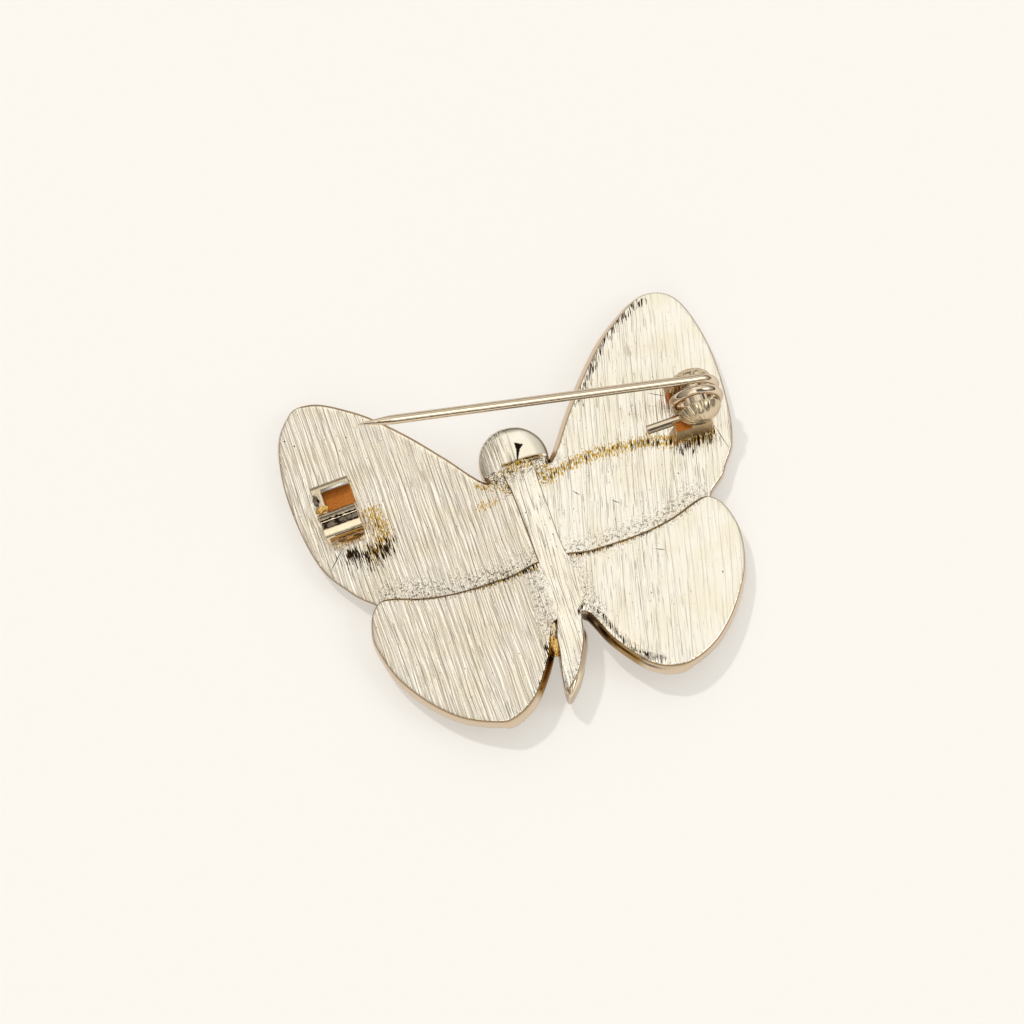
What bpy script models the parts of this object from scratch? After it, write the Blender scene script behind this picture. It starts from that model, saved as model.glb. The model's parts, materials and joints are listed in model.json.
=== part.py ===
"""Butterfly brooch, seen from its back: a casting with a catch and a hinge, and a sprung pin that stands open.

+X is the butterfly's right side as its back is looked at, +Y its head, +Z away from the cloth side of the wings.
The whole lies face down: on the outer edges of the forewings and on the tail.
"""

import math

import bmesh
import bpy
from mathutils import Matrix, Vector
from mathutils.geometry import interpolate_bezier

# Wings, in metres. Heights count from where the forewings' back faces meet the bar.
WING_HALF_SPAN = 0.02115
FOREWING_REACH = 0.0190
FOREWING_THICKNESS = 0.00205
HINDWING_SPAN_SHARE = 0.8605
HINDWING_HALF_SPAN = WING_HALF_SPAN * HINDWING_SPAN_SHARE
HINDWING_REACH = 0.0163
HINDWING_THICKNESS = 0.0024
HINDWING_STEP = 0.00045
DIHEDRAL = math.radians(8.0)
BACK_EDGE_ROUNDING = 0.00018
FRONT_EDGE_ROUNDING = 0.0007
EDGE_FLARE = 0.00035
OUTLINE_STEPS = 4

# Body.
BAR_HALF_WIDTH = 0.00145
BAR_BEVEL = 0.0007
BAR_FRONT = 0.0069
BAR_DEPTH = 0.0020
BODY_DEPTH = 0.00517
BODY_HALF_WIDTH = 0.00175
BODY_FRONT = 0.0064
BODY_LENGTH = 0.0222
BODY_BACK_SHARE = 0.72
HEAD_RADIUS = 0.0034
HEAD_DEPTH_RADIUS = 0.0024
HEAD_CENTRE = Vector((-0.0001, 0.0074, -0.0019))

# Catch on the left forewing, a strip bent to a floor, a lip and a hook.
CATCH_FROM_TIP = 0.00395
CATCH_AWAY = WING_HALF_SPAN - CATCH_FROM_TIP
CATCH_LENGTH = 0.0037
CATCH_STRIP = 0.0005
CATCH_FLOOR_WIDTH = 0.0039
CATCH_CHANNEL_Y = 0.0091
CATCH_LIP_HEIGHT = 0.0017
HOOK_RADIUS = 0.0012
HOOK_CURL = math.radians(245)
CATCH_SINK = 0.0003
CATCH_FOOT_RADIUS = 0.0009

# Hinge on the right forewing, a slotted ribbed ball on a foot.
HINGE_FROM_TIP = 0.00305
HINGE_AWAY = WING_HALF_SPAN - HINGE_FROM_TIP
HINGE_Y = 0.0076
HINGE_HEIGHT = 0.00315
HINGE_LEAN = math.radians(5.74)
EAR_RADIUS = 0.00205
EAR_HALF_LENGTH = 0.0027
EAR_RIBS = 15
EAR_RIB_DEPTH = 0.00009
SLOT_WIDTH = 0.00315
SLOT_FLOOR = 0.00025
FOOT_WIDTH = 0.0038
FOOT_LENGTH = 0.0054
FOOT_HEIGHT = 0.0017
FOOT_ASIDE = -0.0010
FOOT_SINK = 0.0008
RIVET_RADIUS = 0.00105
RIVET_CLEARANCE = 0.0002
RIVET_SEAT = 0.0006

# Pin.
WIRE_DIAMETER = 0.0009
COIL_RADIUS = 0.00215
COIL_PITCH = 0.00115
COIL_START = 0.72
COIL_CUT_GAP = 0.0004
POINT_PAST_CATCH = 0.00024
PIN_REACH = HINGE_AWAY + CATCH_AWAY + POINT_PAST_CATCH
PIN_RISE = math.radians(21.2)
PIN_SIDEWAYS = math.radians(1.75)
POINT_LENGTH = 0.0034
POINT_RADIUS = 0.00008
TAIL_LENGTH = 0.0052
TAIL_SIDEWAYS = math.radians(2.4)
TAIL_GAP = 0.00012
WIRE_SIDES = 12

# Outlines of a right wing, as shares of its half span and of its reach from the crossing.
FOREWING_OUTLINE = (
    (0.024, 0.237), (0.161, 0.332), (0.293, 0.526), (0.426, 0.711), (0.577, 0.874), (0.723, 0.976),
    (0.842, 1.000), (0.927, 0.945), (0.981, 0.789), (1.000, 0.589), (0.986, 0.347), (0.950, 0.181),
    (0.887, 0.065), (0.806, -0.040), (0.567, -0.237), (0.024, -0.237),
)
HINDWING_OUTLINE = (
    (0.069, -0.201), (0.231, -0.198), (0.478, -0.186), (0.670, -0.149), (0.841, -0.082), (0.918, -0.095),
    (0.973, -0.177), (1.000, -0.335), (0.967, -0.524), (0.892, -0.682), (0.796, -0.821), (0.681, -0.933),
    (0.546, -1.003), (0.438, -1.007), (0.328, -0.951), (0.242, -0.846), (0.176, -0.736), (0.121, -0.626),
    (0.069, -0.549),
)

# The wings' edges from the back to the front: share of the thickness, then the place beyond the outline as a
# share of the back's rounding, of the flare and of the front's rounding.
WING_RIM = (
    (0.00, -1.0, 0.0, 0.0), (0.08, 0.0, 0.0, 0.0), (0.50, 0.0, 1.0, 0.0), (0.74, 0.0, 0.7, 0.0),
    (0.92, 0.0, 0.0, -0.3), (1.00, 0.0, 0.0, -1.0),
)

# Sections of the body from the head to the tail: share of the length from the front, then shares of the
# half width for the sideways place and the half width, and of the depth for the back's drop and the depth.
BODY_SECTIONS = (
    (0.00, 0.06, 0.85, 0.02, 0.78),
    (0.11, 0.12, 1.05, 0.02, 0.90),
    (0.29, 0.10, 1.08, 0.02, 0.95),
    (0.45, 0.03, 1.00, 0.02, 0.92),
    (0.58, 0.00, 0.97, 0.00, 0.94),
    (0.69, -0.12, 0.95, 0.01, 0.98),
    (0.81, -0.46, 0.92, 0.03, 1.00),
    (0.895, -0.83, 0.79, 0.07, 1.00),
    (0.96, -1.20, 0.57, 0.11, 0.97),
    (1.00, -1.45, 0.28, 0.19, 0.86),
)


def clear_scene():
    for old in list(bpy.data.objects):
        bpy.data.objects.remove(old, do_unlink=True)


def metal(name, colour, roughness):
    material = bpy.data.materials.new(name)
    material.use_nodes = True
    shader = material.node_tree.nodes["Principled BSDF"]
    shader.inputs["Base Color"].default_value = (*colour, 1.0)
    shader.inputs["Metallic"].default_value = 1.0
    shader.inputs["Roughness"].default_value = roughness
    return material


def object_from(name, shape, material=None):
    """A new object of this bmesh, with its faces turned outwards."""
    bmesh.ops.recalc_face_normals(shape, faces=shape.faces)
    mesh = bpy.data.meshes.new(name)
    shape.to_mesh(mesh)
    shape.free()
    made = bpy.data.objects.new(name, mesh)
    bpy.context.scene.collection.objects.link(made)
    if material:
        mesh.materials.append(material)
    return made


def smooth_outline(points, steps):
    """A closed curve through these plane points, with this many steps between two of them."""
    smooth = []
    count = len(points)
    for i in range(count):
        before, start, end, after = (Vector(points[(i + k) % count]) for k in (-1, 0, 1, 2))
        first_handle = start + (end - before) / 6
        last_handle = end - (after - start) / 6
        smooth += interpolate_bezier(start, first_handle, last_handle, end, steps + 1)[:-1]
    return [point.to_2d() for point in smooth]


def rings_to_solid(rings):
    """A closed solid through rings of as many points each, capped at both ends."""
    shape = bmesh.new()
    made = [[shape.verts.new(point) for point in ring] for ring in rings]
    count = len(rings[0])
    for near, far in zip(made, made[1:]):
        for i in range(count):
            j = (i + 1) % count
            shape.faces.new((near[i], near[j], far[j], far[i]))
    shape.faces.new(made[0])
    shape.faces.new(list(reversed(made[-1])))
    return shape


def wing_height(x):
    """Height of a forewing's back face this far from the middle. It starts level with the foot of the bar."""
    return -math.tan(DIHEDRAL) * (abs(x) - BAR_HALF_WIDTH)


def directions_out(edge):
    """Which way is out at each point of a closed curve."""
    ways = []
    for i, point in enumerate(edge):
        along = (edge[(i + 1) % len(edge)] - edge[i - 1]).normalized()
        ways.append(Vector((along.y, -along.x)))
    area = sum(edge[i - 1].cross(point) for i, point in enumerate(edge))
    return [way * math.copysign(1.0, area) for way in ways]


def wing(name, outline, half_span, reach, thickness, lift, side):
    """A sloping plate on the side of this sign. Its edges flare out below the back face and are rounded in front."""
    shares = [Vector((x * half_span * side, y * reach)) for x, y in outline]
    edge = smooth_outline(shares, OUTLINE_STEPS)
    ways = directions_out(edge)
    rings = []
    for deep, back, flare, front in WING_RIM:
        away = back * BACK_EDGE_ROUNDING + flare * EDGE_FLARE + front * FRONT_EDGE_ROUNDING
        ring = []
        for point, way in zip(edge, ways):
            x, y = point + way * away
            ring.append((x, y, lift + wing_height(x) - deep * thickness))
        rings.append(ring)
    return object_from(name, rings_to_solid(rings))


def forewings():
    size = (WING_HALF_SPAN, FOREWING_REACH, FOREWING_THICKNESS)
    return [wing(f"forewing_{side}", FOREWING_OUTLINE, *size, 0.0, side) for side in (1, -1)]


def hindwings():
    size = (HINDWING_HALF_SPAN, HINDWING_REACH, HINDWING_THICKNESS)
    return [wing(f"hindwing_{side}", HINDWING_OUTLINE, *size, HINDWING_STEP, side) for side in (1, -1)]


def bar():
    """The raised bar along the middle of the back, flush with the hindwings, bevelled on its left."""
    left = -BAR_HALF_WIDTH
    rear = -HINDWING_REACH * 0.35
    profile = (
        (left, -BAR_DEPTH),
        (left, wing_height(left) + BACK_EDGE_ROUNDING),
        (left + BAR_BEVEL, HINDWING_STEP),
        (BAR_HALF_WIDTH - BACK_EDGE_ROUNDING, HINDWING_STEP),
        (BAR_HALF_WIDTH, HINDWING_STEP - BACK_EDGE_ROUNDING),
        (BAR_HALF_WIDTH, -BAR_DEPTH),
    )
    rings = [[(x, y, z) for x, z in profile] for y in (BAR_FRONT, rear)]
    return object_from("bar", rings_to_solid(rings))


def body():
    """Thorax and abdomen: a long half-round form with a flat back, its tail bent to one side and down."""
    top = HINDWING_STEP
    rings = []
    for along, aside, wide, drop, deep in BODY_SECTIONS:
        flat = top - drop * BODY_DEPTH
        bottom = top - deep * BODY_DEPTH
        half_depth = (flat - bottom) / (1 + BODY_BACK_SHARE)
        centre = bottom + half_depth
        ring = []
        for step in range(20):
            turn = math.tau * step / 20
            x = aside * BODY_HALF_WIDTH + wide * BODY_HALF_WIDTH * math.cos(turn)
            z = centre + half_depth * math.sin(turn)
            ring.append((x, BODY_FRONT - along * BODY_LENGTH, min(z, flat + 0.02 * (z - flat))))
        rings.append(ring)
    return object_from("body", rings_to_solid(rings))


def head():
    shape = bmesh.new()
    bmesh.ops.create_uvsphere(shape, u_segments=32, v_segments=16, radius=1.0)
    bmesh.ops.scale(shape, vec=(HEAD_RADIUS, HEAD_RADIUS, HEAD_DEPTH_RADIUS), verts=shape.verts)
    bmesh.ops.rotate(shape, matrix=Matrix.Rotation(math.radians(4), 3, "X"), verts=shape.verts)
    bmesh.ops.translate(shape, vec=HEAD_CENTRE, verts=shape.verts)
    return object_from("head", shape)


def on_wing(x, y):
    """A frame standing on a forewing's back face, its Z square to the face and its Y along the butterfly's."""
    slope = math.copysign(DIHEDRAL, x)
    place = Vector((x, y, wing_height(x)))
    return Matrix.Translation(place) @ Matrix.Rotation(slope, 4, "Y")


def catch_centreline():
    """Side view of the catch's strip, as (y, z) from the middle of its channel: lip, floor, then the hook."""
    half = CATCH_STRIP / 2
    wall = CATCH_FLOOR_WIDTH / 2 - half
    corner = CATCH_STRIP
    line = [Vector((wall, CATCH_LIP_HEIGHT)), Vector((wall, half + corner))]
    for step in range(1, 4):
        turn = math.radians(30 * step)
        line.append(Vector((wall - corner * (1 - math.cos(turn)), half + corner * (1 - math.sin(turn)))))
    hook = Vector((-CATCH_FLOOR_WIDTH / 2 - half, half + HOOK_RADIUS))
    steps = 16
    for step in range(steps + 1):
        turn = -math.pi / 2 - HOOK_CURL * step / steps
        line.append(hook + HOOK_RADIUS * Vector((math.cos(turn), math.sin(turn))))
    return line


def thickened(line, thickness):
    """The outline of a strip this thick along a plane line."""
    left, right = [], []
    for i, point in enumerate(line):
        ahead = (line[min(i + 1, len(line) - 1)] - line[max(i - 1, 0)]).normalized()
        aside = Vector((-ahead.y, ahead.x)) * thickness / 2
        left.append(point + aside)
        right.append(point - aside)
    return left + list(reversed(right))


def catch():
    """The bent strip, its left end wall and the solder foot under the hook."""
    frame = on_wing(-CATCH_AWAY, CATCH_CHANNEL_Y)
    half = CATCH_LENGTH / 2
    pieces = []
    outline = thickened(catch_centreline(), CATCH_STRIP)
    pieces.append(rings_to_solid([[(x, p.x, p.y) for p in outline] for x in (-half, half)]))
    wall = CATCH_FLOOR_WIDTH / 2
    height = CATCH_LIP_HEIGHT - CATCH_STRIP / 2
    near = -wall - CATCH_STRIP
    lip = wall - CATCH_STRIP / 2
    root = -CATCH_SINK * 1.5
    rim = [(near, root), (lip, root), (lip, height), (near, height * 0.7)]
    ends = (CATCH_SINK / 3 - half, CATCH_SINK / 3 + CATCH_STRIP - half)
    pieces.append(rings_to_solid([[(x, y, z) for y, z in rim] for x in ends]))
    sunk = [(near - HOOK_RADIUS, -CATCH_SINK), (lip, -CATCH_SINK), (lip, CATCH_STRIP / 2)]
    sunk.append((near - HOOK_RADIUS / 2, CATCH_STRIP / 2))
    sides = (-half + CATCH_SINK, half - CATCH_SINK)
    pieces.append(rings_to_solid([[(x, y, z) for y, z in sunk] for x in sides]))
    foot = rod(CATCH_FOOT_RADIUS, CATCH_LENGTH * 0.8, 20)
    bmesh.ops.rotate(foot, matrix=Matrix.Rotation(math.pi / 2, 3, "Z"), verts=foot.verts)
    bmesh.ops.translate(foot, vec=(0.0, near - HOOK_RADIUS * 0.9, -CATCH_SINK / 2), verts=foot.verts)
    pieces.append(foot)
    made = []
    for i, piece in enumerate(pieces):
        bmesh.ops.transform(piece, matrix=frame, verts=piece.verts)
        made.append(object_from(f"catch_form_{i}", piece))
    return made


def hinge_frame():
    """Origin on the pin's axis in the middle of the slot, Y along the axis, X to the right wing's tip."""
    foot = on_wing(HINGE_AWAY, HINGE_Y)
    centre = Vector((HINGE_AWAY, HINGE_Y, foot.translation.z + HINGE_HEIGHT))
    return Matrix.Translation(centre) @ Matrix.Rotation(-HINGE_LEAN, 4, "X")


def ribbed_ball():
    """The two ears before the slot: a drum with domed ends, ribbed from pole to pole."""
    sides = 4 * EAR_RIBS
    drum = SLOT_WIDTH / 2 - EAR_RIB_DEPTH
    crown = EAR_HALF_LENGTH - drum
    turns = [math.radians(15 * k) for k in range(6)]
    ends = [(drum + crown * math.sin(turn), math.cos(turn)) for turn in turns]
    rings = []
    for along, shell in ends[::-1] + [(-along, shell) for along, shell in ends]:
        ring = []
        for step in range(sides):
            turn = math.tau * step / sides
            radius = (EAR_RADIUS + EAR_RIB_DEPTH * math.cos(EAR_RIBS * turn)) * shell
            ring.append((radius * math.cos(turn), along, radius * math.sin(turn)))
        rings.append(ring)
    return rings_to_solid(rings)


def box(x, y, z):
    """A box between these pairs of ends."""
    shape = bmesh.new()
    bmesh.ops.create_cube(shape, size=1.0)
    size = [span[1] - span[0] for span in (x, y, z)]
    middle = [(span[1] + span[0]) / 2 for span in (x, y, z)]
    bmesh.ops.scale(shape, vec=size, verts=shape.verts)
    bmesh.ops.translate(shape, vec=middle, verts=shape.verts)
    return shape


def rod(radius, length, segments):
    """A rod along Y."""
    shape = bmesh.new()
    ends = {"radius1": radius, "radius2": radius, "depth": length}
    bmesh.ops.create_cone(shape, cap_ends=True, segments=segments, **ends)
    bmesh.ops.rotate(shape, matrix=Matrix.Rotation(math.pi / 2, 3, "X"), verts=shape.verts)
    return shape


def hinge_forms():
    """What is added for the hinge, then what is cut from it."""
    frame = hinge_frame()
    foot_sides = (FOOT_ASIDE - FOOT_WIDTH / 2, FOOT_ASIDE + FOOT_WIDTH / 2)
    half_length = FOOT_LENGTH / 2
    foot_frame = on_wing(HINGE_AWAY, HINGE_Y)
    ball = ribbed_ball()
    bmesh.ops.transform(ball, matrix=frame, verts=ball.verts)
    foot = box(foot_sides, (-half_length, half_length), (-FOOT_SINK, FOOT_HEIGHT))
    sides = [e for e in foot.edges if abs(e.verts[0].co.z - e.verts[1].co.z) > FOOT_SINK]
    bmesh.ops.bevel(foot, geom=sides, offset=FOOT_WIDTH / 6, segments=2, profile=0.5, affect="EDGES")
    bmesh.ops.transform(foot, matrix=foot_frame, verts=foot.verts)
    slot_sides = (-SLOT_WIDTH / 2, SLOT_WIDTH / 2)
    slot = box((-FOOT_WIDTH, FOOT_WIDTH), slot_sides, (SLOT_FLOOR - HINGE_HEIGHT, HINGE_HEIGHT))
    bmesh.ops.transform(slot, matrix=frame @ Matrix.Rotation(DIHEDRAL, 4, "Y"), verts=slot.verts)
    seat = rod(RIVET_RADIUS + RIVET_CLEARANCE, SLOT_WIDTH + 2 * (RIVET_SEAT + RIVET_CLEARANCE), 28)
    bmesh.ops.transform(seat, matrix=frame, verts=seat.verts)
    added = [object_from("hinge_ball", ball), object_from("hinge_foot", foot)]
    cut = [object_from("hinge_slot", slot), object_from("rivet_seat", seat)]
    return added, cut


def joined(name, pieces, cutters, material):
    """One solid: the first piece with the others added, then the cutters taken away."""
    base = pieces[0]
    for operation, others in (("UNION", pieces[1:]), ("DIFFERENCE", cutters)):
        for other in others:
            step = base.modifiers.new(other.name, "BOOLEAN")
            step.operation = operation
            step.solver = "EXACT"
            step.object = other
            other.hide_render = True
            other.display_type = "WIRE"
    graph = bpy.context.evaluated_depsgraph_get()
    mesh = bpy.data.meshes.new_from_object(base.evaluated_get(graph))
    for used in (*pieces, *cutters):
        bpy.data.objects.remove(used, do_unlink=True)
    mesh.name = name
    mesh.materials.clear()
    mesh.materials.append(material)
    made = bpy.data.objects.new(name, mesh)
    bpy.context.scene.collection.objects.link(made)
    mesh.shade_smooth()
    mesh.set_sharp_from_angle(angle=math.radians(32))
    return made


def tube(name, path, radii, material):
    """A round wire along this path, with its ends capped."""
    rings = []
    aside = None
    for i, point in enumerate(path):
        ahead = (path[min(i + 1, len(path) - 1)] - path[max(i - 1, 0)]).normalized()
        if aside is None:
            aside = ahead.orthogonal().normalized()
        aside = (aside - ahead * aside.dot(ahead)).normalized()
        other = ahead.cross(aside)
        turns = [math.tau * k / WIRE_SIDES for k in range(WIRE_SIDES)]
        rings.append([point + radii[i] * (math.cos(t) * aside + math.sin(t) * other) for t in turns])
    made = object_from(name, rings_to_solid(rings), material)
    made.data.shade_smooth()
    made.data.set_sharp_from_angle(angle=math.radians(50))
    return made


def coil_point(turns):
    """Centre of the wire this many turns down the coil from where the stem meets it, in the hinge's frame."""
    angle = math.pi / 2 - PIN_RISE - math.tau * turns
    offset = COIL_PITCH * (COIL_START - turns)
    return Vector((COIL_RADIUS * math.cos(angle), offset, COIL_RADIUS * math.sin(angle)))


def pin_path():
    """The stem's point, its straight run, then the coil's first turn, in the hinge's frame."""
    root = coil_point(0.0)
    ahead = Vector((-math.cos(PIN_RISE), 0.0, math.sin(PIN_RISE)))
    run = math.sqrt(PIN_REACH**2 - COIL_RADIUS**2)
    aside = Vector((0.0, run * math.tan(PIN_SIDEWAYS), 0.0))
    bend = 0.06

    def stem(share):
        return root + ahead * run * share + aside * max(share - bend / 2, 0.0) / (1 - bend / 2)

    point_share = POINT_LENGTH / run
    shares = [1.0, 1 - point_share / 3, 1 - 2 * point_share / 3, 1 - point_share]
    shares += [0.75, 0.5, 0.25, 2 * bend, bend, bend / 2]
    path = [stem(share) for share in shares]
    wire = WIRE_DIAMETER / 2
    radii = [POINT_RADIUS, wire * 0.45, wire * 0.8] + [wire] * (len(shares) - 3)
    steps = 28
    last = 1.0 - COIL_CUT_GAP / (math.tau * COIL_RADIUS)
    for step in range(steps + 1):
        path.append(coil_point(last * step / steps))
        radii.append(wire)
    return path, radii


def tail_path():
    """The last half turn, straight on to the tail that lies along the wing, in the hinge's frame."""
    bottom = 1.5 - PIN_RISE / math.tau
    steps = 16
    path = [coil_point(1.0 + (bottom - 1.0) * step / steps) for step in range(steps + 1)]
    end = path[-1]
    clear = HINGE_HEIGHT - COIL_RADIUS - WIRE_DIAMETER / 2 - TAIL_GAP
    slope = math.tan(DIHEDRAL) - clear / TAIL_LENGTH
    ahead = Vector((-1.0, -math.tan(TAIL_SIDEWAYS), slope)).normalized()
    for share in (0.2, 0.4, 0.7, 1.0):
        path.append(end + ahead * TAIL_LENGTH * share)
    return path, [WIRE_DIAMETER / 2] * len(path)


def stand_on_floor(base, solids):
    """Moves the whole so that its lowest point is at height 0 and its middle over the origin."""
    bpy.context.view_layer.update()
    corners = [solid.matrix_world @ vert.co for solid in solids for vert in solid.data.vertices]
    low = Vector([min(point[k] for point in corners) for k in range(3)])
    high = Vector([max(point[k] for point in corners) for k in range(3)])
    base.location -= Vector(((low.x + high.x) / 2, (low.y + high.y) / 2, low.z))


def build():
    clear_scene()
    brushed_gold = metal("brushed_gold", (0.83, 0.69, 0.45), 0.28)
    wire_gold = metal("wire_gold", (0.84, 0.68, 0.48), 0.2)

    pieces = [body(), head(), bar()] + forewings() + hindwings() + catch()
    added, cut = hinge_forms()
    casting = joined("butterfly_casting", pieces + added, cut, brushed_gold)

    brooch = bpy.data.objects.new("brooch", None)
    pin_axis = bpy.data.objects.new("pin_axis", None)
    for empty in (brooch, pin_axis):
        bpy.context.scene.collection.objects.link(empty)
    pin_axis.parent = brooch
    pin_axis.matrix_local = hinge_frame()

    rivet_length = SLOT_WIDTH + 2 * RIVET_SEAT
    rivet = object_from("hinge_rivet", rod(RIVET_RADIUS, rivet_length, 24), wire_gold)
    rivet.data.shade_smooth()
    rivet.data.set_sharp_from_angle(angle=math.radians(50))
    pin = tube("pin_wire", *pin_path(), wire_gold)
    tail = tube("spring_tail", *tail_path(), wire_gold)
    for held in (rivet, pin, tail):
        held.parent = pin_axis
    casting.parent = brooch
    stand_on_floor(brooch, (casting, rivet, pin, tail))


build()
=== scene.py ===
"""Looks of the butterfly brooch from its back: a gold-plated casting with a catch, a hinge and an open pin.

Forms are drawn in millimetres in the casting's own frame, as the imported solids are: +X is the right wings'
side, +Y the head, and height 0 is where the forewings' back faces meet the bar. place() moves them to the
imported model.
"""

import json
import math

from functools import partial

import bmesh
import bpy
import numpy as np
from mathutils import Matrix, Vector, noise
from mathutils.geometry import delaunay_2d_cdt, interpolate_bezier


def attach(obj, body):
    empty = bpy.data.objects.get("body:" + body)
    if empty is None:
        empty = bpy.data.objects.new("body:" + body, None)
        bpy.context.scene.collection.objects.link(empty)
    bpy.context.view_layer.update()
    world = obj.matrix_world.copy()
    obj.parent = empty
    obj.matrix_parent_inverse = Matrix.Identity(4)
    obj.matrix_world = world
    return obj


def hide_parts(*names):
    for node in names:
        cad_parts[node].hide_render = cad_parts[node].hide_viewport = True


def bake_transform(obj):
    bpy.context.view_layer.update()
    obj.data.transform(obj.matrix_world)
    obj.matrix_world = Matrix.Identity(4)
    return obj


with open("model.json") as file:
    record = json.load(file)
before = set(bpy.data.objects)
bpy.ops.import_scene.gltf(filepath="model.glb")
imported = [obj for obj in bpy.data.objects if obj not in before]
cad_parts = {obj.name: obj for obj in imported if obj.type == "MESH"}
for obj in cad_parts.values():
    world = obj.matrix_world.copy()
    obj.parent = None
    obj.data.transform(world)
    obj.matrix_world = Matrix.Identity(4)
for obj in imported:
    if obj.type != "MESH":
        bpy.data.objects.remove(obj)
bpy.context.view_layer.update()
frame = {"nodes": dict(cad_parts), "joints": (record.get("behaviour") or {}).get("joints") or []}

MM = 0.001
# How deep the wheel's marks are drawn. Real ones are shallower; this depth lets the broad streaks show.
BRUSH_DEPTH = 0.06

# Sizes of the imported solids, in millimetres.
WING_HALF_SPAN = 21.15
FOREWING_REACH = 19.0
FOREWING_THICKNESS = 2.05
HINDWING_HALF_SPAN = 18.2
HINDWING_REACH = 16.3
HINDWING_THICKNESS = 2.4
HINDWING_STEP = 0.45
SLOPE = math.tan(math.radians(8.0))
BAR_HALF_WIDTH = 1.45
CATCH_PLACE = (-17.2, 9.1)
CATCH_LENGTH = 3.7
CATCH_STRIP = 0.5
CATCH_FLOOR_WIDTH = 3.9
CATCH_LIP_HEIGHT = 1.7
HOOK_RADIUS = 1.2
HOOK_CURL = math.radians(245)
HINGE_PLACE = (18.1, 7.6)
HINGE_HEIGHT = 3.15
HINGE_LEAN = math.radians(5.74)
EAR_RADIUS = 2.05
EAR_HALF_LENGTH = 2.7
SLOT_WIDTH = 3.15
FOOT_WIDTH = 3.8
FOOT_LENGTH = 5.4
FOOT_HEIGHT = 1.7
FOOT_ASIDE = -1.0
WIRE_RADIUS = 0.45
COIL_RADIUS = 2.15
COIL_PITCH = 1.15
COIL_START = 0.72
PIN_REACH = 35.54
PIN_RISE = math.radians(21.2)
PIN_SIDEWAYS = math.radians(1.75)
POINT_LENGTH = 3.4
TAIL_LENGTH = 5.2
TAIL_SIDEWAYS = math.radians(2.4)
TAIL_GAP = 0.12

# Outlines of a right wing, as shares of its half span and of its reach.
FOREWING_OUTLINE = (
    (0.024, 0.237), (0.161, 0.332), (0.293, 0.526), (0.426, 0.711), (0.572, 0.877), (0.719, 0.986),
    (0.840, 1.014), (0.929, 0.956), (0.981, 0.793), (1.000, 0.589), (0.986, 0.347), (0.950, 0.181),
    (0.887, 0.065), (0.806, -0.040), (0.567, -0.237), (0.024, -0.237),
)
HINDWING_OUTLINE = (
    (0.020, -0.201), (0.231, -0.198), (0.478, -0.186), (0.670, -0.149), (0.841, -0.082), (0.918, -0.095),
    (0.973, -0.177), (1.000, -0.335), (0.967, -0.524), (0.892, -0.682), (0.796, -0.821), (0.681, -0.933),
    (0.546, -1.003), (0.438, -1.007), (0.328, -0.951), (0.242, -0.846), (0.174, -0.736), (0.135, -0.638),
    (0.104, -0.566), (0.066, -0.546), (0.020, -0.549),
)

# Back face of the body, from under the head down its right edge to the tail and up its left edge.
BODY_BACK = (
    (1.20, 6.9), (1.44, 4.0), (1.48, 0.5), (1.58, -2.6), (2.05, -3.9), (2.42, -5.4), (2.12, -7.6),
    (1.18, -8.9), (0.70, -10.7), (0.38, -11.7), (-0.04, -12.6), (-0.58, -13.6), (-1.16, -14.45),
    (-1.88, -15.1), (-2.44, -15.6), (-2.66, -15.5), (-2.62, -14.7), (-2.34, -13.2), (-2.02, -11.8),
    (-1.85, -10.6), (-1.45, -9.3), (-0.85, -7.6), (-0.80, -5.6), (-1.12, -3.2), (-1.22, 0.0),
    (-1.33, 4.0), (-1.38, 6.6),
)
BODY_TOP = 0.50


def linear(code):
    """A hexadecimal colour as linear light."""
    parts = [int(code[i : i + 2], 16) / 255 for i in (1, 3, 5)]
    return tuple(c / 12.92 if c <= 0.04045 else ((c + 0.055) / 1.055) ** 2.4 for c in parts) + (1.0,)


def node(tree, kind, inputs=None, **settings):
    """Adds a node with its settings. Each of its inputs is a socket to link from, or a value."""
    made = tree.nodes.new(kind)
    for name, value in settings.items():
        setattr(made, name, value)
    feed(tree, made, inputs or {})
    return made.outputs


def feed(tree, made, inputs):
    for socket, value in inputs.items():
        if isinstance(value, bpy.types.NodeSocket):
            tree.links.new(value, made.inputs[socket])
        else:
            made.inputs[socket].default_value = value


def vector(tree, operation, *inputs):
    return node(tree, "ShaderNodeVectorMath", dict(enumerate(inputs)), operation=operation)["Vector"]


# Materials.


def unevenness(tree, where, scale, detail, roughness=0.5):
    """Cloudy noise with about this many waves to a millimetre."""
    inputs = {"Vector": where, "Scale": scale, "Detail": detail, "Roughness": roughness}
    return node(tree, "ShaderNodeTexNoise", inputs)["Fac"]


def streaks(tree, where, lean, width, length, seed, detail=1.0):
    """Brush marks of this width and length in millimetres, along a direction that leans from +Y to +X."""
    turned = node(tree, "ShaderNodeVectorRotate", {"Vector": where, "Angle": lean}, rotation_type="Z_AXIS")
    drawn = vector(tree, "MULTIPLY", turned["Vector"], (1 / width, 1 / length, 0.0))
    return unevenness(tree, vector(tree, "ADD", drawn, (seed, seed * 2, seed)), 1.0, detail)


def ranged(tree, value, low, high, to_low=0.0, to_high=1.0, **settings):
    """A value between low and high, brought to another range."""
    inputs = {"Value": value, "From Min": low, "From Max": high, "To Min": to_low, "To Max": to_high}
    return node(tree, "ShaderNodeMapRange", inputs, **settings)["Result"]


def between(tree, value, low, high):
    """0 below low and 1 above high, with a soft step."""
    return ranged(tree, value, low, high, interpolation_type="SMOOTHSTEP")


def times(tree, first, second):
    return node(tree, "ShaderNodeMath", {0: first, 1: second}, operation="MULTIPLY")["Value"]


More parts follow.
